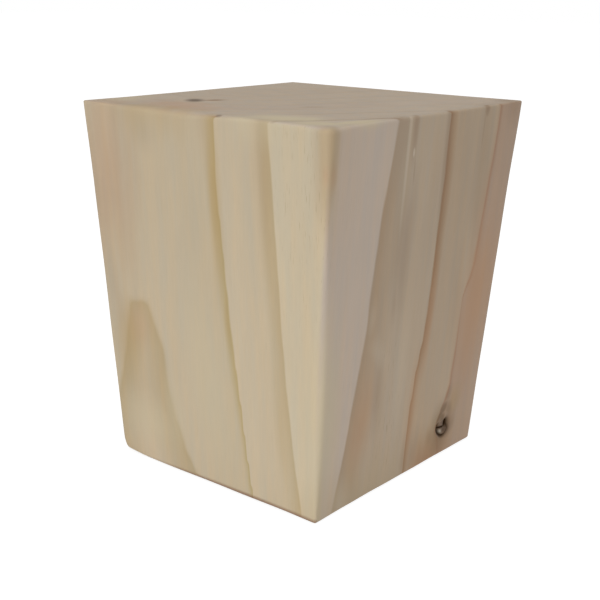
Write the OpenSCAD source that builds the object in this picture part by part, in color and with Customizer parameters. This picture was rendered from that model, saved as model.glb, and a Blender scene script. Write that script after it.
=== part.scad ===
// Tapered furniture leg: one sawn and sanded block of pine, a four-sided pyramid cut off flat,
// standing on its small end. The large end is the face that is fixed under the furniture.
// Width runs along X, depth along Y, and the origin is the middle of the foot, on the floor.

/* [Block] */
// Height from the floor to the mounting face
leg_height = 100; // [60:1:180]
// Width of the mounting face
top_width = 82; // [60:1:130]
// Depth of the mounting face
top_depth = 88; // [66:1:130]
// Width of the foot
foot_width = 70; // [50:1:110]
// Depth of the foot
foot_depth = 75; // [66:1:110]

/* [Arrises] */
// Radius of the four long arrises
side_radius = 1.2; // [0.4:0.1:4]
// Radius of the arrises around the mounting face
top_radius = 0.9; // [0.3:0.1:3]
// Radius of the arrises around the foot
foot_radius = 0.8; // [0.3:0.1:3]
// Number of narrow flats that a sanded arris is made of
arris_flats = 3; // [1:1:5]

/* [Dead knot] */
// Distance of the knot from the middle of its face, towards the back
knot_setback = 20.5; // [0:0.5:26]
// Height of the knot above the floor
knot_height = 9; // [8:0.5:48]
// Diameter of the bark ring at the face
bark_diameter = 6.4; // [5:0.1:9]
// Depth of the groove that the lost bark leaves
bark_depth = 1.6; // [0.8:0.1:4]
// Diameter of the branch inside the bark
branch_diameter = 3.6; // [1.5:0.1:4]
// Depth of the branch's end below the face
branch_sink = 0.4; // [0.1:0.1:0.6]
// Length of the drying crack above the bark ring
crack_length = 3.2; // [1:0.1:12]
// Width of the drying crack where it leaves the bark ring
crack_width = 1.6; // [0.6:0.1:3]
// Depth of the drying crack
crack_depth = 0.9; // [0.3:0.1:3]
// Sideways run of the drying crack at its tip
crack_drift = 1.8; // [0:0.1:3]

/* [Hidden] */
$fn = 64;

// Extra length of each cut outside the wood
overrun = 1;
// Width of the bark groove's floor, set against its width at the face
groove_floor_share = 0.8;
// Where the crack starts, set against the bark ring's radius
crack_root_share = 0.75;
// Where the branch sits in the bark ring, below the middle and towards the front
branch_drop_share = 0.12;
branch_shift_share = 0.08;

// Turn from one flat of a long arris to the next
flat_turn = 90 / (arris_flats + 1);
// Length that takes every slab right across the block
slab_length = max(top_width, foot_width) + max(top_depth, foot_depth);
// Lean of the side faces from upright, and where the knot's face stands at the knot's height
side_lean = lean(top_width / 2, foot_width / 2);
knot_face = foot_width / 2 + (top_width - foot_width) / 2 * knot_height / leg_height;

// Lean of a face from upright, from its distances to the leg's axis at the top and the foot
function lean(top_reach, foot_reach) = atan((top_reach - foot_reach) / leg_height);

// Distance from the leg's axis to the flat that faces a given turn of the rounded section
function reach(width, depth, turn) =
    (width / 2 - side_radius) * abs(cos(turn)) + (depth / 2 - side_radius) * abs(sin(turn)) + side_radius;

// Points around an eased corner, from one direction to another
function eased(middle, radius, start, end) =
    [for (i = [0 : arris_flats]) let (a = start + (end - start) * i / arris_flats)
        middle + radius * [cos(a), sin(a)]];

// Middle of an eased corner that lies a radius inside the leaning face, at a given height
function corner_middle(foot_reach, face_lean, radius, height) =
    [foot_reach + height * tan(face_lean) - radius / cos(face_lean), height];

// One side of a slab's outline, from the foot up to the mounting face
function slab_side(top_reach, foot_reach) =
    let (a = lean(top_reach, foot_reach))
    concat(
        eased(corner_middle(foot_reach, a, foot_radius, foot_radius), foot_radius, -90, -a),
        eased(corner_middle(foot_reach, a, top_radius, leg_height - top_radius), top_radius, -a, 90)
    );

// Tapered slab whose two leaning faces are flats of the leg, turned about the upright axis
module slab(turn) {
    side = slab_side(reach(top_width, top_depth, turn), reach(foot_width, foot_depth, turn));
    opposite = [for (i = [len(side) - 1 : -1 : 0]) [-side[i].x, side[i].y]];
    rotate([90, 0, turn])
        linear_extrude(height = slab_length, center = true)
            polygon(concat(side, opposite));
}

// The block: everything that lies inside all the slabs
module block() {
    intersection_for (turn = [0 : flat_turn : 180 - flat_turn / 2])
        slab(turn);
}

// Moves a shape onto the knot's face, with local Z straight out of the wood and local X down the face
module on_knot_face() {
    translate([knot_face, knot_setback, knot_height])
        rotate([0, 90 + side_lean, 0])
            children();
}

// The branch's end, standing in the groove that its bark left
module branch_end() {
    translate([bark_diameter * branch_drop_share, -bark_diameter * branch_shift_share, -bark_depth - overrun])
        cylinder(d = branch_diameter, h = bark_depth + overrun - branch_sink);
}

// What the lost bark and the drying crack take out of the face
module knot_hollow() {
    difference() {
        union() {
            translate([0, 0, -bark_depth])
                cylinder(d1 = bark_diameter * groove_floor_share, d2 = bark_diameter, h = bark_depth);
            cylinder(d = bark_diameter, h = overrun);
        }
        branch_end();
    }
    crack_root = bark_diameter / 2 * crack_root_share;
    translate([0, 0, -crack_depth])
        linear_extrude(height = crack_depth + overrun)
            polygon([
                [-crack_root, -crack_width / 2],
                [-crack_root, crack_width / 2],
                [-bark_diameter / 2 - crack_length, crack_drift]
            ]);
}

// The whole leg
module leg() {
    color("burlywood")
        difference() {
            block();
            on_knot_face()
                knot_hollow();
        }
}

leg();
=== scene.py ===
"""Looks of a short tapered furniture leg: one sawn and sanded block of pine on a white studio floor.

The block stands for the CAD node "leg". Its sizes are in millimetres, in the CAD frame: width along X, depth
along Y, up along Z, with the origin in the middle of the foot.
"""

import logging
import math
from dataclasses import dataclass, field
from enum import Enum

import bpy
import numpy as np
from mathutils import Matrix, Vector


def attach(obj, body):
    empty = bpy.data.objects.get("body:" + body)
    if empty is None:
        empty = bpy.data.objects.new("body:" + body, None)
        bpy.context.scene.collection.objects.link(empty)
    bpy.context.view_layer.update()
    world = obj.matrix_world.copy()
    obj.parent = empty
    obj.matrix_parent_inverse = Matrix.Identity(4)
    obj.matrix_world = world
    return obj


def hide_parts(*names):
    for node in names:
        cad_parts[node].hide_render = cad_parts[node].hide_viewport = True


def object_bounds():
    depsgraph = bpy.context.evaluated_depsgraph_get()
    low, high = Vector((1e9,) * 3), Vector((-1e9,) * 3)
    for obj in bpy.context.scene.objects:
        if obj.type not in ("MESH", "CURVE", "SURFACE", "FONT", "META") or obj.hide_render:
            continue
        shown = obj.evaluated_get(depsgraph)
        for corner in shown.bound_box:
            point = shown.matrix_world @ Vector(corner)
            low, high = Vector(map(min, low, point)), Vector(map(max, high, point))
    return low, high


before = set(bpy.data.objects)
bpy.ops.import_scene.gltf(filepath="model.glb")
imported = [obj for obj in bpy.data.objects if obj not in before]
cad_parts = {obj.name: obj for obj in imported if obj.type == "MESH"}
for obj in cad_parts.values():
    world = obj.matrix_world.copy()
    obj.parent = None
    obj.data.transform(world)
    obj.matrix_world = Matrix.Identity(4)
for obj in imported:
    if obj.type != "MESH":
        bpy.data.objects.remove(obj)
CAD_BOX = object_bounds()
MM = 0.001
WHITE = (1.0, 1.0, 1.0, 1.0)
LOG = logging.getLogger("leg")

Point = tuple[float, float, float]
Spot = tuple[float, float]
Socket = bpy.types.NodeSocket
Tree = bpy.types.NodeTree


def linear(hex_colour: str) -> tuple[float, float, float, float]:
    """Turn an sRGB hex colour into linear light.

    Args:
        hex_colour: six hex digits after a hash sign.

    Returns:
        Red, green, blue and an alpha of 1.
    """
    parts = [int(hex_colour[i : i + 2], 16) / 255 for i in (1, 3, 5)]
    red, green, blue = (p / 12.92 if p <= 0.04045 else ((p + 0.055) / 1.055) ** 2.4 for p in parts)
    return red, green, blue, 1.0


def add_node(
    tree: Tree, kind: str, links: dict | None = None, out: str | None = None, **settings: object
) -> Socket:
    """Add a node, give it its settings, and set or link its inputs.

    Args:
        tree: the node tree that takes the node.
        kind: the node's type, without the leading ShaderNode.
        links: a value or an output for each named or numbered input in use.
        out: name of the output wanted, or None for the first one.
        settings: the node's own properties.

    Returns:
        The output wanted, or None for a node that has none.
    """
    node = tree.nodes.new("ShaderNode" + kind)
    for name, value in settings.items():
        setattr(node, name, value)
    for key, value in (links or {}).items():
        inputs = [s for s in node.inputs if s.enabled]
        socket = inputs[key] if isinstance(key, int) else next(s for s in inputs if s.name == key)
        if isinstance(value, Socket):
            tree.links.new(value, socket)
        else:
            socket.default_value = value
    outputs = [s for s in node.outputs if s.enabled and out in (None, s.name)]
    return outputs[0] if outputs else None


def smooth_step(low: float, high: float, value: np.ndarray) -> np.ndarray:
    """Ease from 0 at low to 1 at high."""
    t = np.clip((value - low) / (high - low), 0, 1)
    return t * t * (3 - 2 * t)


class Face(Enum):
    """Sides of the leg that carry marks, by the direction they look in."""

    FRONT = "-Y"
    SIDE = "+X"
    TOP = "+Z"


class Tone(Enum):
    """Colours that a mark on the wood takes, in the order in which they are laid."""

    # Pale wood, and also painted highlights on the side and the top
    CREAM_AND_HIGHLIGHT = "#c9bb9c"
    TAN = "#b5a07a"
    ROSE = "#bd9676"
    AMBER = "#b98d66"
    GREY = "#9a8d7b"
    DUN = "#a6937d"
    OCHRE = "#ab8e58"
    PALE = "#d4c9b4"
    BROWN = "#8c7056"
    # Painted shade for the foot edge
    FOOT_EDGE_SHADE = "#7c543c"
    UMBER = "#64481a"
    DARK = "#4a3828"


@dataclass(frozen=True)
class Mark:
    """A line, spot or soft patch of another tone, a few of them painted highlight and shade: a long ellipse on
    one face, which fades at its rim.

    The two ends are across and up on an upright face, and along X and Y on the top. Reach is half the width. A
    mark with no core is a soft patch with a frayed outline.
    """

    face: Face
    tone: Tone
    start: Spot
    end: Spot
    reach: float
    strength: float
    core_share: float = 0.0


# Marks by face and tone: start, end, reach and strength, and the core share of a firm one
MARKS: dict[tuple[Face, Tone], tuple[tuple, ...]] = {
    # Streaks beside the ring lines, stains at the foot, the dark tail of the knot, and a painted highlight
    # beside the rounded front arris
    (Face.SIDE, Tone.CREAM_AND_HIGHLIGHT): (
        # Painted highlight: the side made lighter next to the rounded front arris
        ((-38.5, 68), (-33, -14), 7.5, 0.6),
        ((-40, 70), (-35.2, -30), 2.6, 0.8, 0.2),
    ),
    (Face.SIDE, Tone.TAN): (
        ((-60, 1), (16, 1), 18.0, 0.38),
        ((-43.4, 122), (-40.6, 64), 3.6, 0.6),
    ),
    (Face.SIDE, Tone.AMBER): (
        ((-18, 44), (-22.5, 2), 7.0, 0.48),
        ((29.6, 88), (25.6, 51), 2.8, 0.34),
        ((32, 82), (30.5, 12), 12.0, 0.6),
        ((29.6, 68), (28, 46), 6.5, 0.5),
        ((-2, 0), (30, 0), 13.0, 0.82),
        ((3.6, 44), (1.8, -10), 3.2, 0.45),
        ((8.4, 66), (5.6, 22), 2.8, 0.5),
        ((-41.5, 94), (-41.0, 83), 1.8, 0.3),
    ),
    (Face.SIDE, Tone.DUN): (((-13.8, 112), (-17.6, 76), 3.4, 0.8),),
    (Face.SIDE, Tone.OCHRE): (
        ((26.5, 22), (25, 9), 4.5, 0.36),
        ((2, 7), (35, 7), 9.0, 0.26),
    ),
    (Face.SIDE, Tone.PALE): (
        ((-11.3, 128), (-11.9, 62), 1.0, 0.32, 0.25),
        ((-9.0, 92.6), (-9.0, 89.4), 0.6, 0.8, 0.3),
        ((-23, 47.5), (-9.5, 33.5), 4.0, 0.17),
        ((-19.8, 58), (-20.6, 43), 2.6, 0.16),
        ((-4.2, 58), (-5.2, 6), 4.0, 0.2),
        ((-28.5, 14), (-26, -12), 5.0, 0.3),
    ),
    (Face.SIDE, Tone.BROWN): (
        ((-8.8, 112), (-9.3, 84), 1.9, 0.45, 0.1),
        ((-8.2, 92), (-7.9, 80), 0.6, 0.3, 0.2),
        ((-8.4, 92), (-9.6, 42), 4.6, 0.36),
        ((-10.8, 66), (-11.4, 40), 2.0, 0.25),
        ((-13.8, 44), (-15, 12), 3.6, 0.23),
        ((25.3, 102.5), (24.8, 96), 1.8, 0.6, 0.2),
        ((24.4, 103), (23.9, 84), 0.6, 0.3, 0.2),
        ((27.0, 112), (24.0, 50), 6.5, 0.1),
        ((-1, 1), (31, 1), 14.0, 0.3),
        ((6.6, 120), (6.0, 58), 2.0, 0.5),
        ((7.6, 66), (5.0, 22), 2.4, 0.16),
        ((3.4, 114), (2.0, 40), 5.0, 0.13),
        ((20.5, 70), (19.5, 22), 6.0, 0.13),
        ((6.0, 17), (4.5, -6), 4.6, 0.32),
        ((1.5, 15), (1, -8), 3.2, 0.26),
        ((-41.8, 112), (-41.4, 78), 2.4, 0.12, 0.3),
        ((17.4, 9.4), (21.0, 15.8), 2.2, 0.5),
        ((26.0, 14.0), (21.5, 2.5), 4.2, 0.6),
        ((19.5, 21), (19.5, -2), 9.0, 0.22),
    ),
    (Face.SIDE, Tone.UMBER): (
        ((16.2, 9.0), (20.8, 15.6), 1.6, 0.72, 0.3),
        ((17.6, 12.4), (23.0, 16.8), 2.2, 0.68, 0.25),
        ((17.4, 12.2), (22.6, 11.4), 2.4, 0.74, 0.2),
        ((20.6, 14.0), (23.6, 23), 2.0, 0.3, 0.1),
        ((21.4, 17.5), (24.4, 10), 2.8, 0.4, 0.05),
        ((18.5, 20), (20, -4), 6.5, 0.46, 0.1),
        ((13.5, 12), (15.5, 3), 3.2, 0.2),
    ),
    (Face.SIDE, Tone.DARK): (
        ((-12.4, 84), (-13.4, 48), 3.2, 0.07),
        ((-14.8, 48), (-14, 6), 5.0, 0.07),
        ((28.6, 122), (25.0, 46), 8.5, 0.13),
        ((16.5, 124), (15, 40), 9.5, 0.07),
    ),
    # The warm far edge, the stain in the arch, darker tone beside the ring lines, and a painted shade line
    # along the foot edge
    (Face.FRONT, Tone.CREAM_AND_HIGHLIGHT): (
        ((-38, 15), (-7, 9), 12.0, 0.5),
        ((-6, 68), (6, -8), 12.0, 0.36),
        ((-15, 34), (-11, 2), 5.5, 0.35),
    ),
    (Face.FRONT, Tone.TAN): (
        ((22.6, 50), (26.6, -8), 2.8, 0.42),
        ((40.4, 120), (38.3, 68), 3.2, 0.2),
    ),
    (Face.FRONT, Tone.ROSE): (
        ((-33.5, 122), (-32, 46), 12.5, 0.45),
        ((-24.8, 50), (-25, 30), 7.0, 0.3),
        ((39.7, 93), (39.5, 85), 1.2, 0.35),
    ),
    (Face.FRONT, Tone.GREY): (((-19.5, 101), (-16.5, 86), 5.5, 0.25),),
    (Face.FRONT, Tone.OCHRE): (
        ((-28.5, 54), (-31, 18), 8.0, 0.36),
        ((3.4, 122), (6.8, 40), 3.4, 0.52),
        ((20.6, 118), (22.8, 40), 3.2, 0.26),
        ((7.2, 61), (9.0, 33), 1.9, 0.36),
    ),
    (Face.FRONT, Tone.BROWN): (
        ((-33, 110), (-30, 36), 12.0, 0.19),
        ((-41, 104), (-37, 54), 5.0, 0.22),
        ((-36, 78), (-32, 24), 6.0, 0.26),
        ((19.6, 116), (21.4, 60), 3.8, 0.15),
        ((1.4, 118), (2.4, 80), 3.6, 0.13),
        ((38.2, 114), (37.6, 70), 3.2, 0.2, 0.15),
    ),
    # Painted shade: a reddish dark line where the rounded foot edge turns away from the light
    (Face.FRONT, Tone.FOOT_EDGE_SHADE): (((-34, 0.3), (62, 0.3), 1.4, 0.7, 0.35),),
    (Face.FRONT, Tone.DARK): (((-28, 118), (-27, 74), 7.0, 0.08),),
    # The small knot in the end grain, pale rubbed edges with a painted highlight on them, and the lines of the
    # outer rings
    (Face.TOP, Tone.CREAM_AND_HIGHLIGHT): (
        # Pale rubbed edges, with painted highlight where the rounded front and side top edges catch the light
        ((27, -43), (42, -36), 4.4, 0.75, 0.35),
        ((36.5, -43), (41, -20), 3.2, 0.75, 0.3),
        ((7.5, -43.6), (24.5, -43.2), 2.0, 0.6, 0.2),
        ((5, -42), (41, -33), 10.0, 0.85),
        ((-42, -18), (-31, -46), 9.0, 0.55),
    ),
    (Face.TOP, Tone.TAN): (((-40, -43.8), (9, -43.8), 11.0, 0.55),),
    (Face.TOP, Tone.ROSE): (((-34, -30), (6, -38), 12.0, 0.42),),
    (Face.TOP, Tone.PALE): (
        ((4, -39), (38, -29), 8.0, 0.14),
        ((13, 14), (33, 15), 12.0, 0.1),
    ),
    (Face.TOP, Tone.BROWN): (
        ((-19.6, -22.4), (-14.9, -14.2), 2.2, 0.95, 0.15),
        ((8.4, -17.2), (15.5, -8.2), 1.7, 0.35, 0.1),
        ((21, -47), (32.5, -34.8), 1.1, 0.4, 0.2),
        ((27.5, -41), (38, -24), 1.1, 0.4, 0.2),
        ((34.5, -31.5), (43, -11), 1.1, 0.5, 0.2),
        ((42, 46), (36, 34), 9.0, 0.35),
    ),
    (Face.TOP, Tone.DARK): (
        ((-24.7, -18.0), (-16.5, -27.0), 3.6, 0.76, 0.2),
        ((5.8, -43.0), (8.6, -43.4), 1.0, 0.45, 0.3),
    ),
}


@dataclass(frozen=True)
class SoftSpot:
    """A place on the block or round the knot, felt most in the middle and fading over a spread."""

    place: tuple[float, ...]
    spread: tuple[float, ...]
    amount: float = 1.0

    def felt(self, points: np.ndarray) -> np.ndarray:
        """How much of the spot each point feels."""
        return self.amount * np.exp(-(((points - self.place) / self.spread) ** 2).sum(1))


@dataclass(frozen=True)
class Streaks:
    """Upright streaks in the wood: their usual width and length, and the levels of finer ones in them."""

    width: float
    length: float
    detail: float = 2.0

    def draw(self, tree: Tree, place: Socket) -> Socket:
        """Draw the streaks.

        Args:
            tree: the node tree.
            place: places in millimetres.

        Returns:
            Values about 0.5.
        """
        scale = (1 / self.width, 1 / self.width, 1 / self.length)
        stretched = add_node(tree, "VectorMath", {0: place, 1: scale}, operation="MULTIPLY")
        return add_node(tree, "TexNoise", {"Vector": stretched, "Scale": 1.0, "Detail": self.detail})


@dataclass(frozen=True)
class Taper:
    """Sizes of the block and of its eased arrises."""

    height: float = 100.0
    top_width: float = 82.0
    top_depth: float = 88.0
    foot_width: float = 70.0
    foot_depth: float = 75.0
    arris: float = 1.2
    top_arris: float = 0.9
    foot_arris: float = 0.8
    # The arrises wander by this much, in waves of so many radians to a millimetre along X and Y, and Y and Z
    wander: float = 0.12
    flat_waves: Spot = (0.23, 0.31)
    rising_waves: Spot = (0.11, 0.17)
    wave_start: float = 0.9
    # Where hand sanding rounded an arris more, or less for an amount below 0
    sanded: tuple[SoftSpot, ...] = (
        SoftSpot((37, -40, 38), (12, 12, 24), 1.5),
        SoftSpot((35, -37.5, 0), (9, 9, 10), -0.6),
        SoftSpot((41, -44, 100), (8, 8, 8), 1.3),
        SoftSpot((41, 44, 100), (14, 14, 14), -0.6),
        SoftSpot((-41, -44, 100), (10, 10, 14), -0.7),
        SoftSpot((-8, -44, 100), (17, 7, 7), 1.6),
        SoftSpot((-35, -37, 0), (6, 6, 2.2), 1.7),
    )

    def half_width(self, z: np.ndarray) -> np.ndarray:
        """Half the width at a height."""
        return (self.foot_width + (self.top_width - self.foot_width) * z / self.height) / 2

    def half_depth(self, z: np.ndarray) -> np.ndarray:
        """Half the depth at a height."""
        return (self.foot_depth + (self.top_depth - self.foot_depth) * z / self.height) / 2

    def side_normal(self) -> np.ndarray:
        """Direction straight out of the +X face."""
        lean = math.atan2((self.top_width - self.foot_width) / 2, self.height)
        return np.array([math.cos(lean), 0.0, -math.sin(lean)])

    def on_face(self, face: Face, across: np.ndarray, up: np.ndarray) -> np.ndarray:
        """Find places on one of the flat faces.

        Args:
            face: the face.
            across: places across it, or along X on the top.
            up: heights, or places along Y on the top.

        Returns:
            The points in the leg's frame.
        """
        if face is Face.FRONT:
            parts = (across, -self.half_depth(up), up)
        elif face is Face.SIDE:
            parts = (self.half_width(up), across, up)
        else:
            parts = (across, up, self.height)
        return np.stack(np.broadcast_arrays(*parts), -1).astype(float)

    def arris_at(self, points: np.ndarray) -> np.ndarray:
        """Give the reach of the hand-sanded arris round each point.

        Args:
            points: places on the sharp block.

        Returns:
            The radius that the arris has there.
        """
        x, y, z = points.T
        (flat_x, flat_y), (rising_y, rising_z) = self.flat_waves, self.rising_waves
        waves = np.sin(flat_x * x + flat_y * y + self.wave_start) * np.sin(rising_z * z + rising_y * y)
        return self.arris + self.wander * waves + sum(spot.felt(points) for spot in self.sanded)

    def eased(self, points: np.ndarray) -> tuple[np.ndarray, np.ndarray]:
        """Round the arrises of the sharp block.

        Args:
            points: places on the sharp block.

        Returns:
            The places on the sanded block, and the way that each one faces.
        """
        x, y, z = points.T
        radius = self.arris_at(points)
        top, foot = (edge * radius / self.arris for edge in (self.top_arris, self.foot_arris))
        wide, deep = self.half_width(z) - radius, self.half_depth(z) - radius
        level = np.clip(z, foot, self.height - top)
        middle = np.stack([np.clip(x, -wide, wide), np.clip(y, -deep, deep), level], 1)
        reach = np.stack([radius, radius, np.where(z > self.height / 2, top, foot)], 1)
        out = (points - middle) / reach
        out /= np.linalg.norm(out, axis=1, keepdims=True)
        return middle + out * reach, out


@dataclass(frozen=True)
class DeadKnot:
    """The dead knot low in the +X face: a split branch end in the groove that its bark left.

    Places round it run towards the back and up, and turns from the back towards the top, in degrees.
    """

    setback: float = 20.9
    height: float = 8.45
    zone: float = 5.0
    zone_fade: float = 1.0
    ring_radius: float = 2.65
    ring_stretch: float = 0.18
    stretch_turn: float = -45.0
    ring_width: float = 0.66
    ring_swell: Spot = (0.85, 0.3)
    swell_turn: float = 190.0
    ring_depth: float = 0.8
    gap_turn: float = 86.0
    gap_reach: Spot = (38.0, 80.0)
    gap_cover: float = 0.12
    hole: SoftSpot = SoftSpot((1.7, 1.0), (1.15, 1.5))
    hole_depth: float = 1.2
    crack_run: tuple[Spot, ...] = ((-2.3, 0.5), (-1.1, 0.18), (0.3, 0.03), (1.2, 0.5))
    crack_width: float = 0.4
    crack_depth: float = 0.7
    branch_radius: float = 2.3
    branch_rim: Spot = (0.3, 0.6)
    branch_sink: float = 0.35
    # How dark the ring, the hole and the crack are
    bark_levels: Point = (0.95, 1.4, 1.15)
    bark_stain: SoftSpot = SoftSpot((1.0, -1.0), (1.1, 0.9), 0.55)
    stub_rim: Spot = (0.2, 0.5)
    stub_paling: float = 0.25
    pale_below: Spot = (0.3, -0.25)
    eye: SoftSpot = SoftSpot((-1.05, -1.415), (0.95, 0.55))
    eye_slant: float = 0.3
    halo: SoftSpot = SoftSpot((2.0, -1.1), (2.0, 1.9), 0.9)

    def across(self, points: np.ndarray) -> np.ndarray:
        """Places round the knot's middle: towards the back, and up."""
        return points[:, 1:] - (self.setback, self.height)

    def ring(self, spots: np.ndarray) -> np.ndarray:
        """Give the cover of the bark ring, which is open at the top.

        Args:
            spots: places round the knot.

        Returns:
            1 in the middle of the groove, 0 outside it.
        """
        u, v = spots.T
        radius, turn = np.hypot(u, v), np.degrees(np.arctan2(v, u))
        from_gap = np.abs((turn - self.gap_turn + 180) % 360 - 180)
        shut = self.gap_cover + (1 - self.gap_cover) * smooth_step(*self.gap_reach, from_gap)
        stretch = self.ring_stretch * np.cos(np.radians(2 * (turn - self.stretch_turn)))
        mean, swing = self.ring_swell
        width = self.ring_width * (mean + swing * np.cos(np.radians(turn - self.swell_turn)))
        return np.exp(-(((radius - self.ring_radius * (1 + stretch)) / width) ** 2)) * shut

    def crack(self, spots: np.ndarray) -> np.ndarray:
        """Give the cover of the crack across the branch end.

        Args:
            spots: places round the knot.

        Returns:
            1 in the crack, 0 away from it.
        """
        away = np.full(len(spots), np.inf)
        for start, end in zip(self.crack_run, self.crack_run[1:]):
            run = np.subtract(end, start)
            share = np.clip((spots - start) @ run / (run @ run), 0, 1)
            away = np.minimum(away, np.linalg.norm(spots - start - np.outer(share, run), axis=1))
        return np.exp(-((away / self.crack_width) ** 2))

    def on_branch(self, spots: np.ndarray, rim: Spot) -> np.ndarray:
        """1 on the branch's end and 0 outside it, with a rim that reaches so far in and out."""
        radius = np.hypot(*spots.T)
        return 1 - smooth_step(self.branch_radius - rim[0], self.branch_radius + rim[1], radius)

    def depth(self, spots: np.ndarray) -> np.ndarray:
        """Give how far the face sinks below its plane.

        Args:
            spots: places round the knot.

        Returns:
            Depths in millimetres.
        """
        cuts = [
            self.ring_depth * self.ring(spots),
            self.hole_depth * self.hole.felt(spots),
            self.crack_depth * self.crack(spots),
            self.branch_sink * self.on_branch(spots, self.branch_rim),
        ]
        return np.max(cuts, axis=0)

    def tones(self, spots: np.ndarray) -> dict[str, np.ndarray]:
        """Give the cover of each of the knot's colours.

        Args:
            spots: places round the knot.

        Returns:
            Covers from 0 to 1, by name.
        """
        forms = (self.ring(spots), self.hole.felt(spots), self.crack(spots))
        covers = [level * form for level, form in zip(self.bark_levels, forms)]
        stub = self.on_branch(spots, self.stub_rim)
        below = smooth_step(*self.pale_below, spots[:, 1])
        slanted = spots @ [[1, self.eye_slant], [0, 1]]
        return {
            "bark": np.clip(np.max([*covers, self.bark_stain.felt(spots)], axis=0), 0, 1),
            "eye": stub * below * self.eye.felt(slanted),
            "stub": stub * (1 - self.stub_paling * below),
            "halo": self.halo.felt(spots),
        }


@dataclass(frozen=True)
class YearRing:
    """One year's growth: pale early wood that darkens into late wood up to a sharp outer border.

    The border is measured from the pith outwards. The front face is flat-sawn, and the side is nearer to
    quarter-sawn, where the late wood is redder. Each has its width of late wood, early colour and late colour.
    """

    border: float
    front: tuple[float, str, str]
    side: tuple[float, str, str]


@dataclass(frozen=True)
class RingLine:
    """Where the outer border of one ring comes out on a face: places across and up, from the foot.

    Years are counted from the pith, from 0. The late shares say at which heights the ring's dark late wood
    shows. Where it doesn't, only the tone changes.
    """

    face: Face
    year: int
    run: tuple[Spot, ...]
    late_shares: tuple[Spot, ...] = ((0, 1), (100, 1))

    def across(self, z: np.ndarray) -> np.ndarray:
        """Place across the face at a height."""
        places, heights = zip(*self.run)
        return np.interp(z, heights, places)

    def bare(self, z: np.ndarray) -> np.ndarray:
        """Share of the late wood that is missing at a height."""
        heights, shares = zip(*self.late_shares)
        return 1 - np.interp(z, heights, shares)


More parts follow.
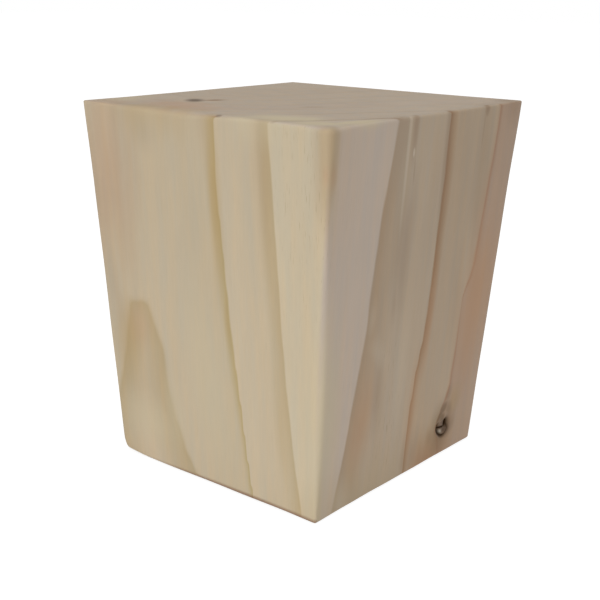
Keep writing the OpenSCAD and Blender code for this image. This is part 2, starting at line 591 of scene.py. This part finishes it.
@dataclass(frozen=True)
class GrowthRings:
    """The rings of fast-grown pine round a pith that leans a little and lies inside the block.

    On the two faces with the boldest grain the rings are drawn to the lines where they come out.
    """

    pith: Spot = (-24.0, 6.0)
    pith_lean: Spot = (-0.8, -0.9)
    mid_height: float = 50.0
    turn: float = -27.5
    flattening: float = 15.0
    reach_in: Spot = (4.0, 16.0)
    corner_blend: float = 0.5
    years: tuple[YearRing, ...] = (
        YearRing(12.2, (2.5, "#b9a686", "#ad9470"), (2.5, "#b8a284", "#a58768")),
        YearRing(23.5, (2.5, "#b9a686", "#ad9470"), (2.5, "#b8a284", "#a58768")),
        YearRing(34.8, (2.5, "#b9a686", "#ad9470"), (2.0, "#b6a287", "#a58768")),
        YearRing(46.1, (4.2, "#bfb098", "#ac9a78"), (0.9, "#b19a85", "#a17353")),
        YearRing(56.9, (1.8, "#bcae95", "#aa9769"), (2.0, "#b8a58d", "#8f683e")),
        YearRing(68.1, (3.2, "#bfb198", "#b2a07e"), (4.6, "#b9a892", "#a69077")),
        YearRing(81.5, (3.0, "#c4b79d", "#b39c78"), (3.0, "#c3b4a5", "#ab9270")),
        YearRing(93.0, (3.0, "#c4b79d", "#b39c78"), (3.0, "#c2b5a4", "#ab9270")),
    )
    blend: float = 0.12
    # Share of late colour where the late wood starts, and how far from the border and how strong its bend is
    late_start: float = 0.1
    late_bend: Spot = (0.45, 0.6)
    lines: tuple[RingLine, ...] = (
        RingLine(
            Face.FRONT,
            4,
            ((14.3, 0), (12.5, 14), (10.7, 31), (9.0, 50), (6.2, 76), (6.0, 100)),
            ((0, 0.4), (14, 0.35), (30, 0.7), (48, 1), (70, 0.8), (100, 0.7)),
        ),
        RingLine(Face.FRONT, 5, ((31.0, 0), (29.0, 14), (27.0, 31), (25.6, 50), (24.3, 76), (22.9, 100))),
        RingLine(
            Face.SIDE,
            3,
            ((20.8, 0), (20, 3), (19.6, 5.2), (18.9, 6.8), (17.9, 8.2), (17.8, 9.8), (18.5, 11.2))
            + ((19.4, 13.2), (20.2, 15), (21.8, 16.8), (22.8, 19), (23.8, 22), (23.8, 30), (23.5, 47))
            + ((27.1, 56), (28.1, 65), (29.7, 80), (32.7, 100)),
            ((44, 0), (52, 1)),
        ),
        RingLine(
            Face.SIDE,
            4,
            ((2.1, 0), (2.4, 21), (3.4, 30), (4.9, 38.5), (5.9, 48), (6.3, 70), (6.8, 100)),
            ((0, 0.1), (25, 0.2), (45, 1), (85, 1), (100, 0.6)),
        ),
        RingLine(
            Face.SIDE,
            5,
            ((-30.8, 0), (-28.7, 12), (-26.5, 26), (-24.2, 38))
            + ((-22.7, 48), (-21.9, 62), (-20.3, 77), (-16.6, 100)),
        ),
    )
    late_skip: float = 1.2
    skip_blend: float = 0.1
    arch_slope: float = 0.3
    arch_fade: Spot = (10.0, 4.0)
    arch_left: RingLine = RingLine(Face.FRONT, 3, ((-38.5, 8), (-33.5, 24.8), (-30.1, 38.5), (-28.3, 47.0)))
    arch_right: RingLine = RingLine(
        Face.FRONT,
        3,
        ((-4.6, 0), (-9.2, 7.2), (-12.6, 16), (-14.7, 26), (-15.4, 34.8), (-17.0, 38.5), (-20.5, 48.1)),
    )

    def from_pith(self, points: np.ndarray) -> np.ndarray:
        """Give how far out from the pith each point lies, in round rings drawn out to one side.

        Args:
            points: places in the block.

        Returns:
            Distances in millimetres.
        """
        x, y, z = points.T
        level = (z - self.mid_height) / self.mid_height
        dx = x - self.pith[0] - self.pith_lean[0] * level
        dy = y - self.pith[1] - self.pith_lean[1] * level
        turn = math.radians(self.turn)
        ahead = dx * math.cos(turn) + dy * math.sin(turn)
        beside = dy * math.cos(turn) - dx * math.sin(turn)
        return np.hypot(ahead, beside / (1 + np.maximum(beside, 0) / self.flattening))

    def distance(self, points: np.ndarray, block: Taper) -> np.ndarray:
        """Give how far out from the pith each point lies, with the rings drawn to their lines.

        Args:
            points: places on the block.
            block: the block.

        Returns:
            Distances in millimetres.
        """
        x, y, z = points.T
        outward = self.from_pith(points)
        drawn = outward.copy()
        depths = {Face.FRONT: y + block.half_depth(z), Face.SIDE: block.half_width(z) - x}
        both = sum(depths.values()) + 2 * self.corner_blend
        near, far = self.reach_in
        for face, depth in depths.items():
            cover = smooth_step(far, near, depth) * (both - depth - self.corner_blend) / both
            lines = [line for line in self.lines if line.face is face]
            here = [self.from_pith(block.on_face(face, line.across(z), z)) for line in lines]
            borders = [self.years[line.year].border for line in lines]
            drawn += cover * (self.threaded(outward, here, borders) - outward)
            for line, value in zip(lines, here):
                skip = self.late_skip * line.bare(z) * cover
                drawn -= skip * smooth_step(value + self.skip_blend, value - self.skip_blend, outward)
        return self.arched(drawn, points, smooth_step(far, near, depths[Face.FRONT]))

    def threaded(self, outward: np.ndarray, here: list[np.ndarray], borders: list[float]) -> np.ndarray:
        """Stretch distances so that each ring's border falls on its line.

        Args:
            outward: distances from the pith.
            here: the distance at each line, from the pith outwards.
            borders: the ring border that belongs there.

        Returns:
            The changed distances.
        """
        moved = outward + borders[0] - here[0]
        for i, border in enumerate(borders):
            last = i == len(borders) - 1
            rise = 1.0 if last else (borders[i + 1] - border) / (here[i + 1] - here[i])
            moved = np.where(outward > here[i], border + (outward - here[i]) * rise, moved)
        return moved

    def arched(self, outward: np.ndarray, points: np.ndarray, cover: np.ndarray) -> np.ndarray:
        """Draw the flat-topped arch that one ring makes on the front face.

        Args:
            outward: distances from the pith.
            points: places on the block.
            cover: how near each place is to the front face.

        Returns:
            The changed distances.
        """
        x, _, z = points.T
        (left, left_top), (right, right_top) = self.arch_left.run[-1], self.arch_right.run[-1]
        roof = left_top + (x - left) * (right_top - left_top) / (right - left)
        outside = np.max([self.arch_left.across(z) - x, x - self.arch_right.across(z), z - roof], axis=0)
        arch = self.years[self.arch_left.year].border + self.arch_slope * outside
        return outward + (arch - outward) * cover * smooth_step(*self.arch_fade, outside)

    def stops(self, side: bool) -> list[tuple[float, tuple[float, float, float, float]]]:
        """Give the colours from the pith outwards.

        Args:
            side: True for the side faces, False for the front.

        Returns:
            Distance and linear colour, in order.
        """
        made, inner = [], 0.0
        bend, bend_share = self.late_bend
        for year in self.years:
            width, *tints = year.side if side else year.front
            early, late = (np.array(linear(tint)) for tint in tints)
            for distance, share in (
                (inner + self.blend / 2, 0.0),
                (year.border - width, self.late_start),
                (year.border - width * bend, bend_share),
                (year.border - self.blend / 2, 1.0),
            ):
                made.append((distance, tuple(early * (1 - share) + late * share)))
            inner = year.border
        return made


@dataclass(frozen=True)
class SandedPine:
    """Plantation pine, sawn, planed and hand-sanded, with no finish on it.

    Dry unfinished pine scatters nearly all its light: a pale, warm, matt surface with wide soft rings, faint
    upright fibres, short dark resin lines, and a greyer, rougher end grain that drinks the light.
    """

    roughness: float = 0.62
    end_roughness: float = 0.78
    ior: float = 1.5
    shine: float = 0.5
    end_shine: float = 0.12
    end_colour: str = "#bdb0a0"
    end_grey: float = 0.8
    bark_colour: str = "#332211"
    eye_colour: str = "#d2c7b4"
    stub_colour: str = "#735a44"
    halo_colour: str = "#5e4937"
    # Pine's fibres are about 0.03 mm wide and its pores under 0.3 mm, too fine to show, so both are drawn as
    # coarse as they need to be
    fibre: Streaks = Streaks(0.5, 22.0, 3.0)
    fibre_contrast: float = 0.09
    pore_width: float = 0.6
    pore_detail: float = 2.0
    relief_strength: float = 0.25
    relief_depth: float = 0.05
    # Broad clouds of tone, which also move the ring lines a little and fray the marks
    cloud: Streaks = Streaks(7.0, 60.0)
    cloud_contrast: float = 0.12
    cloud_waver: float = 0.5
    waver: Streaks = Streaks(5.0, 18.0)
    waver_reach: float = 0.7
    fray_share: float = 0.8
    # Narrow bands that lean to warm or cool, and short dark dashes where the fibres are torn
    band: Streaks = Streaks(2.6, 40.0)
    band_range: Spot = (0.3, 0.7)
    warm_band: str = "#fffaf4"
    cool_band: str = "#f7f8fa"
    dash: Streaks = Streaks(0.28, 30.0, 1.0)
    dash_range: Spot = (0.63, 0.75)
    dash_colour: str = "#9a8465"
    # Painted light: how much lighter the wood is made at the foot than at the top
    foot_light_level: float = 1.13
    top_light_level: float = 1.0
    rings: GrowthRings = field(default_factory=GrowthRings)
    coarse: tuple[SoftSpot, ...] = (
        SoftSpot((35, -43, 85), (8, 4, 28), 0.45),
        SoftSpot((36, -9, 22), (4, 6, 24), 0.5),
        SoftSpot((0, 0, 50), (200, 200, 200), 0.08),
    )
    marks: tuple[Mark, ...] = tuple(Mark(*kind, *row) for kind, rows in MARKS.items() for row in rows)

    def material(self, block: Taper) -> bpy.types.Material:
        """Make the wood.

        Args:
            block: the block whose faces the marks are placed on.

        Returns:
            The material.
        """
        # Bare sanded softwood: nearly all matt scatter, with a faint broad gloss along the grain
        pine = bpy.data.materials.new("sanded_plantation_pine")
        pine.use_nodes = True
        tree = pine.node_tree
        tree.nodes.clear()
        place = add_node(
            tree,
            "VectorMath",
            {0: add_node(tree, "TexCoord", out="Object"), "Scale": 1 / MM},
            operation="SCALE",
        )
        fibre = self.fibre.draw(tree, place)
        cloud = self.cloud.draw(tree, place)
        wood = self.ringed(tree, place, cloud)
        wood = self.fibred(tree, wood, place, fibre, cloud, block)
        wood = self.marked(tree, wood, place, cloud, block)
        end = add_node(tree, "Attribute", out="Fac", attribute_name="end_grain")
        pores = add_node(
            tree,
            "TexNoise",
            {"Vector": place, "Scale": 1 / self.pore_width, "Detail": self.pore_detail},
        )
        wood = self.knotted(tree, wood)
        pairs = ((self.roughness, self.end_roughness), (self.shine, self.end_shine), (fibre, pores))
        rough, shine, grain = (
            add_node(tree, "Mix", {"Factor": end, "A": along, "B": across}, data_type="FLOAT")
            for along, across in pairs
        )
        bark = add_node(tree, "Attribute", out="Fac", attribute_name="knot_bark")
        shine = add_node(tree, "Mix", {"Factor": bark, "A": shine, "B": 0.0}, data_type="FLOAT")
        relief = add_node(
            tree,
            "Bump",
            {"Height": grain, "Strength": self.relief_strength, "Distance": self.relief_depth * MM},
        )
        shader = add_node(
            tree,
            "BsdfPrincipled",
            {
                "Base Color": wood,
                "Roughness": rough,
                "Normal": relief,
                "IOR": self.ior,
                "Specular IOR Level": shine,
            },
        )
        add_node(tree, "OutputMaterial", {"Surface": shader})
        return pine

    def ringed(self, tree: Tree, place: Socket, cloud: Socket) -> Socket:
        """Colour the growth rings, in one way on the front and in another on the sides.

        Args:
            tree: the node tree.
            place: places in millimetres.
            cloud: slow wander of the ring lines.

        Returns:
            The rings' colour.
        """
        outward = add_node(tree, "Attribute", out="Fac", attribute_name="ring_distance")
        waver = self.waver.draw(tree, place)
        for noise, reach in ((cloud, self.cloud_waver), (waver, self.waver_reach)):
            shift = add_node(tree, "Math", {0: noise, 1: reach, 2: -reach / 2}, operation="MULTIPLY_ADD")
            outward = add_node(tree, "Math", {0: outward, 1: shift}, operation="ADD")
        furthest = self.rings.years[-1].border
        share = add_node(tree, "Math", {0: outward, 1: furthest}, operation="DIVIDE")
        ramps = []
        for side in (False, True):
            colour = add_node(tree, "ValToRGB", {"Fac": share}, out="Color")
            ramp = colour.node.color_ramp
            ready = len(ramp.elements)
            for i, (distance, tint) in enumerate(self.rings.stops(side)):
                stop = ramp.elements[i] if i < ready else ramp.elements.new(distance / furthest)
                stop.position = distance / furthest
                stop.color = tint
            ramps.append(colour)
        sideways = add_node(tree, "Attribute", out="Fac", attribute_name="side_face")
        wood = add_node(tree, "Mix", {"Factor": sideways, "A": ramps[0], "B": ramps[1]}, data_type="RGBA")
        end = add_node(tree, "Attribute", out="Fac", attribute_name="end_grain")
        greyed = add_node(tree, "Math", {0: end, 1: self.end_grey}, operation="MULTIPLY")
        return add_node(
            tree, "Mix", {"Factor": greyed, "A": wood, "B": linear(self.end_colour)}, data_type="RGBA"
        )

    def fibred(
        self, tree: Tree, wood: Socket, place: Socket, fibre: Socket, cloud: Socket, block: Taper
    ) -> Socket:
        """Vary the wood with faint fibres, slow clouds, short dark dashes, and painted light that makes it
        paler towards the foot.

        Args:
            tree: the node tree.
            wood: the colour so far.
            place: places in millimetres.
            fibre: fine upright streaks.
            cloud: broad upright streaks.
            block: the block, over whose whole height the painted light pales the wood towards the foot.

        Returns:
            The new colour.
        """
        swings = [
            add_node(tree, "Math", {0: noise, 1: reach, 2: -reach / 2}, operation="MULTIPLY_ADD")
            for noise, reach in ((fibre, self.fibre_contrast), (cloud, self.cloud_contrast))
        ]
        level = add_node(tree, "Math", dict(enumerate(swings)), operation="ADD")
        # Painted light: the wood is made lighter towards the foot
        height = add_node(tree, "SeparateXYZ", {0: place}, out="Z")
        paling = add_node(
            tree,
            "MapRange",
            {"Value": height, "From Max": block.height, "To Min": self.foot_light_level, "To Max": self.top_light_level},
        )
        level = add_node(tree, "Math", {0: level, 1: paling}, operation="ADD")
        wood = add_node(tree, "VectorMath", {0: wood, "Scale": level}, operation="SCALE")
        band = self.band.draw(tree, place)
        low, high = self.band_range
        leaning = add_node(tree, "MapRange", {"Value": band, "From Min": low, "From Max": high})
        tint = add_node(
            tree,
            "Mix",
            {"Factor": leaning, "A": linear(self.warm_band), "B": linear(self.cool_band)},
            data_type="RGBA",
        )
        wood = add_node(tree, "VectorMath", {0: wood, 1: tint}, operation="MULTIPLY")
        dashes = self.dash.draw(tree, place)
        low, high = self.dash_range
        shown = add_node(
            tree,
            "MapRange",
            {"Value": dashes, "From Min": low, "From Max": high},
            interpolation_type="SMOOTHSTEP",
        )
        coarse = add_node(tree, "Attribute", out="Fac", attribute_name="coarse_fibre")
        cover = add_node(tree, "Math", {0: shown, 1: coarse}, operation="MULTIPLY")
        return add_node(
            tree, "Mix", {"Factor": cover, "A": wood, "B": linear(self.dash_colour)}, data_type="RGBA"
        )

    def marked(self, tree: Tree, wood: Socket, place: Socket, cloud: Socket, block: Taper) -> Socket:
        """Lay the marks over the wood, tone by tone.

        Args:
            tree: the node tree.
            wood: the colour so far.
            place: places in millimetres.
            cloud: broad upright streaks, which fray the marks' outlines.
            block: the block whose faces the marks are placed on.

        Returns:
            The new colour.
        """
        for tone in Tone:
            cover = None
            for mark in self.marks:
                if mark.tone is not tone:
                    continue
                start, end = (Vector(block.on_face(mark.face, *spot)) for spot in (mark.start, mark.end))
                half = (end - start) / 2
                offset = add_node(tree, "VectorMath", {0: place, 1: (start + end) / 2}, operation="SUBTRACT")
                unit = half / half.length_squared
                along = add_node(tree, "VectorMath", {0: offset, 1: unit}, operation="DOT_PRODUCT")
                drawn_in = half * (1 / half.length - 1 / mark.reach)
                shift = add_node(tree, "VectorMath", {0: drawn_in, "Scale": along}, operation="SCALE")
                sized = (1 / mark.reach,) * 3
                rounded = add_node(
                    tree, "VectorMath", {0: offset, 1: sized, 2: shift}, operation="MULTIPLY_ADD"
                )
                away = add_node(tree, "VectorMath", {0: rounded}, operation="LENGTH")
                fray = 0.0 if mark.core_share else self.fray_share
                if fray:
                    away = add_node(tree, "Math", {0: cloud, 1: fray, 2: away}, operation="MULTIPLY_ADD")
                shown = add_node(
                    tree,
                    "MapRange",
                    {
                        "Value": away,
                        "From Min": mark.core_share + fray / 2,
                        "From Max": 1 + fray / 2,
                        "To Min": mark.strength,
                        "To Max": 0.0,
                    },
                    interpolation_type="SMOOTHSTEP",
                )
                if cover is None:
                    cover = shown
                else:
                    cover = add_node(tree, "Math", {0: cover, 1: shown}, operation="MAXIMUM")
            links = {"Factor": cover, "A": wood, "B": linear(tone.value)}
            wood = add_node(tree, "Mix", links, data_type="RGBA")
        return wood

    def knotted(self, tree: Tree, wood: Socket) -> Socket:
        """Colour the dead knot.

        Args:
            tree: the node tree.
            wood: the colour so far.

        Returns:
            The new colour.
        """
        layers = (
            ("halo", self.halo_colour),
            ("stub", self.stub_colour),
            ("eye", self.eye_colour),
            ("bark", self.bark_colour),
        )
        for name, colour in layers:
            cover = add_node(tree, "Attribute", out="Fac", attribute_name="knot_" + name)
            wood = add_node(tree, "Mix", {"Factor": cover, "A": wood, "B": linear(colour)}, data_type="RGBA")
        return wood


@dataclass
class Leg:
    """The whole leg: the tapered block with its dead knot, dressed in sanded pine."""

    block: Taper = field(default_factory=Taper)
    knot: DeadKnot = field(default_factory=DeadKnot)
    finish: SandedPine = field(default_factory=SandedPine)
    edge_lines: tuple[float, ...] = (0.0, 0.2, 0.45, 0.75, 1.1, 1.6, 2.3, 3.4)
    spacing: float = 1.2
    knot_spacing: float = 0.16
    # How far a place must face sideways, up or down, or out of the knot's face to count as side, end or knot
    side_facing: Spot = (0.35, 0.85)
    end_facing: Spot = (0.62, 0.9)
    knot_facing: Spot = (0.6, 0.9)

    def stations(self, low: float, high: float, knot_zone: Spot | None = None) -> np.ndarray:
        """Place the mesh lines along one axis.

        Args:
            low: where the block starts.
            high: where the block ends.
            knot_zone: where the close lines round the knot start and end.

        Returns:
            Rising places, close together at both ends and round the knot.
        """
        edge = np.array(self.edge_lines)
        start, end = low + edge[-1], high - edge[-1]
        spans = [(start, end, self.spacing)]
        if knot_zone:
            near, far = knot_zone
            spans = [(start, near, self.spacing), (near, far, self.knot_spacing), (far, end, self.spacing)]
        parts = [low + edge]
        for near, far, step in spans:
            parts.append(np.linspace(near, far, max(1, round((far - near) / step)) + 1)[1:])
        parts.append((high - edge)[::-1][1:])
        return np.concatenate(parts)

    def lattice(self) -> tuple[np.ndarray, np.ndarray, np.ndarray]:
        """Lay a net over the sharp block.

        Returns:
            The net's points, its four-sided faces, and which points belong to the +X face.
        """
        block, knot = self.block, self.knot
        spread = block.half_depth(knot.height) * 2 / block.top_depth
        wide, deep = block.top_width / 2, block.top_depth / 2
        middle = knot.setback / spread
        reach = knot.zone / spread
        xs = self.stations(-wide, wide)
        ys = self.stations(-deep, deep, (middle - reach, middle + reach))
        zs = self.stations(0.0, block.height, (knot.height - knot.zone, knot.height + knot.zone))
        shape = (len(xs), len(ys), len(zs))
        on_skin = np.zeros(shape, bool)
        on_skin[[0, -1], :, :] = on_skin[:, [0, -1], :] = on_skin[:, :, [0, -1]] = True
        number = np.full(shape, -1)
        number[on_skin] = np.arange(on_skin.sum())
        i, j, k = np.nonzero(on_skin)
        z = zs[k]
        points = np.stack([xs[i] * block.half_width(z) / wide, ys[j] * block.half_depth(z) / deep, z], 1)
        faces = []
        for net, flip in (
            (number[0], True),
            (number[-1], False),
            (number[:, 0], False),
            (number[:, -1], True),
            (number[:, :, 0], True),
            (number[:, :, -1], False),
        ):
            ring = [net[:-1, :-1], net[1:, :-1], net[1:, 1:], net[:-1, 1:]]
            faces.append(np.stack([r.ravel() for r in (ring[::-1] if flip else ring)], 1))
        return points, np.concatenate(faces), i == len(xs) - 1

    def build(self) -> bpy.types.Object:
        """Make the block's mesh, with the knot sunk into it and the fields that the wood reads.

        Returns:
            The new object, in the scene.
        """
        sharp, faces, on_side = self.lattice()
        points, facing = self.block.eased(sharp)
        spots = self.knot.across(points)
        zone = self.knot.zone
        fade = smooth_step(zone, zone - self.knot.zone_fade, np.hypot(*spots.T)) * on_side
        fields = {
            "ring_distance": self.finish.rings.distance(points, self.block),
            "side_face": smooth_step(*self.side_facing, np.abs(facing[:, [0, 2]]).max(1)),
            "end_grain": smooth_step(*self.end_facing, np.abs(facing[:, 2])),
            "coarse_fibre": sum(spot.felt(points) for spot in self.finish.coarse),
        }
        on_knot_face = smooth_step(*self.knot_facing, facing[:, 0])
        for name, cover in self.knot.tones(spots).items():
            fields["knot_" + name] = cover * on_knot_face
        points = points - (self.knot.depth(spots) * fade)[:, None] * self.block.side_normal()
        points = np.clip(points, *(np.array(corner) / MM for corner in CAD_BOX))
        mesh = bpy.data.meshes.new("pine_block")
        mesh.from_pydata((points * MM).tolist(), [], faces.tolist())
        mesh.polygons.foreach_set("use_smooth", np.ones(len(faces), bool))
        for name, values in fields.items():
            made = mesh.attributes.new(name, "FLOAT", "POINT")
            made.data.foreach_set("value", values.astype(np.float32))
        mesh.update()
        piece = bpy.data.objects.new("pine_block", mesh)
        bpy.context.scene.collection.objects.link(piece)
        return piece

    def dress(self, piece: bpy.types.Object) -> None:
        """Give the block its wood and its place in the frame.

        Args:
            piece: the block.
        """
        piece.data.materials.append(self.finish.material(self.block))
        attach(piece, "root")
        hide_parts("leg")


@dataclass(frozen=True)
class SoftLamp:
    """A square lamp with a large soft face, aimed at the middle of the leg."""

    name: str
    place: Point
    size: float
    power: float

    def build(self, target: Vector) -> bpy.types.Object:
        """Hang the lamp.

        Args:
            target: where it shines.

        Returns:
            The lamp.
        """
        lamp = bpy.data.lights.new(self.name, "AREA")
        lamp.size = self.size
        lamp.energy = self.power
        piece = bpy.data.objects.new(self.name, lamp)
        piece.location = self.place
        piece.rotation_mode = "QUATERNION"
        piece.rotation_quaternion = (Vector(self.place) - target).to_track_quat("Z", "Y")
        bpy.context.scene.collection.objects.link(piece)
        return piece


@dataclass(frozen=True)
class Studio:
    """A white studio: matt floor, even light from all round, and soft lamps."""

    floor_size: float = 8.0
    floor_drop: float = 0.0001
    floor_colour: str = "#d8d6d3"
    ambient: float = 0.5
    shadow_share: float = 0.3
    glow: float = 0.87
    lamps: tuple[SoftLamp, ...] = (
        SoftLamp("low_front_lamp", (0.10, -1.0, 0.12), 0.5, 4.4),
        SoftLamp("overhead_lamp", (0.0, 0.0, 1.3), 1.0, 3.9),
        SoftLamp("corner_lamp", (0.45, -0.45, 0.10), 0.4, 0.65),
    )

    def seen_directly(self, tree: Tree) -> Socket:
        """Tell rays that see the backdrop itself from rays that only carry its light.

        Args:
            tree: the node tree.

        Returns:
            1 for camera, mirror and see-through rays, 0 for the others.
        """
        rays = add_node(tree, "LightPath", out="Is Camera Ray")
        seen = rays
        for name in ("Is Glossy Ray", "Is Transmission Ray"):
            seen = add_node(tree, "Math", {0: seen, 1: rays.node.outputs[name]}, operation="MAXIMUM")
        return seen

    def backdrop(self) -> None:
        """Fill the world: white where it is seen, an even soft light where it isn't."""
        world = bpy.data.worlds.new("white_studio")
        world.use_nodes = True
        tree = world.node_tree
        tree.nodes.clear()
        white = add_node(tree, "Background", {"Color": WHITE, "Strength": 1.0})
        soft = add_node(tree, "Background", {"Color": WHITE, "Strength": self.ambient})
        both = add_node(tree, "MixShader", {0: self.seen_directly(tree), 1: soft, 2: white})
        add_node(tree, "OutputWorld", {"Surface": both})
        bpy.context.scene.world = world

    def floor(self) -> bpy.types.Object:
        """Lay the floor: white where it is seen, with the leg's shadow kept on it.

        Returns:
            The floor.
        """
        half = self.floor_size / 2
        mesh = bpy.data.meshes.new("studio_floor")
        corners = [(-half, -half), (half, -half), (half, half), (-half, half)]
        mesh.from_pydata([(x, y, -self.floor_drop) for x, y in corners], [], [(0, 1, 2, 3)])
        # Flat wall paint: an even white scatter with no gloss
        paint = bpy.data.materials.new("matt_white_paint")
        paint.use_nodes = True
        tree = paint.node_tree
        tree.nodes.clear()
        matt = add_node(tree, "BsdfDiffuse", {"Color": linear(self.floor_colour)})
        shaded = add_node(tree, "BsdfDiffuse", {"Color": (self.shadow_share,) * 3 + (1.0,)})
        glow = add_node(tree, "Emission", {"Color": WHITE, "Strength": self.glow})
        seen = add_node(tree, "AddShader", {0: shaded, 1: glow})
        both = add_node(tree, "MixShader", {0: self.seen_directly(tree), 1: matt, 2: seen})
        add_node(tree, "OutputMaterial", {"Surface": both})
        mesh.materials.append(paint)
        piece = bpy.data.objects.new("studio_floor", mesh)
        bpy.context.scene.collection.objects.link(piece)
        return piece

    def build(self, target: Vector) -> None:
        """Set up the backdrop, the floor and the lamps.

        Args:
            target: where the lamps shine.
        """
        self.backdrop()
        self.floor()
        for lamp in self.lamps:
            lamp.build(target)


@dataclass(frozen=True)
class Viewpoint:
    """The camera at the photograph's angle, its sizes in millimetres and degrees."""

    azimuth: float = 40.486
    elevation: float = 15.873
    roll: float = 0.697
    distance: float = 312.196
    aside: float = -12.416
    lift: float = -5.908
    target: Point = (0.0, 0.0, 50.0)
    focal_pixels: float = 1104.33
    middle_column: float = 259.42
    image_side: float = 600.0
    sensor: float = 36.0
    nearest: float = 10.0

    def build(self) -> bpy.types.Object:
        """Place the camera.

        Returns:
            The scene's camera.
        """
        around, above, roll = (math.radians(a) for a in (self.azimuth, self.elevation, self.roll))
        back = Vector(
            (math.sin(around) * math.cos(above), -math.cos(around) * math.cos(above), math.sin(above))
        )
        level = Vector((0, 0, 1)).cross(back).normalized()
        rise = back.cross(level)
        right = level * math.cos(roll) + rise * math.sin(roll)
        up = rise * math.cos(roll) - level * math.sin(roll)
        place = Vector(self.target) + back * self.distance + right * self.aside + up * self.lift
        lens = bpy.data.cameras.new("photo_camera")
        lens.sensor_width = self.sensor
        lens.lens = self.focal_pixels / self.image_side * self.sensor
        lens.shift_x = (self.image_side / 2 - self.middle_column) / self.image_side
        lens.clip_start = self.nearest * MM
        camera = bpy.data.objects.new("photo_camera", lens)
        turn = Matrix((right, up, back)).transposed().to_4x4()
        camera.matrix_world = Matrix.Translation(place * MM) @ turn
        bpy.context.scene.collection.objects.link(camera)
        bpy.context.scene.camera = camera
        return camera


def main() -> None:
    """Build the leg, the studio and the camera, and note the sizes."""
    logging.basicConfig(level=logging.INFO, format="%(message)s")
    scene = bpy.context.scene
    scene.view_settings.view_transform = "Standard"
    leg = Leg()
    piece = leg.build()
    leg.dress(piece)
    LOG.info("%s: %d points, %d faces", piece.name, len(piece.data.vertices), len(piece.data.polygons))
    Studio().build(Vector((0, 0, leg.block.height / 2 * MM)))
    camera = Viewpoint().build()
    LOG.info("%s at %s", camera.name, [round(c, 4) for c in camera.matrix_world.translation])
    bpy.context.view_layer.update()


if __name__ == "__main__":
    main()
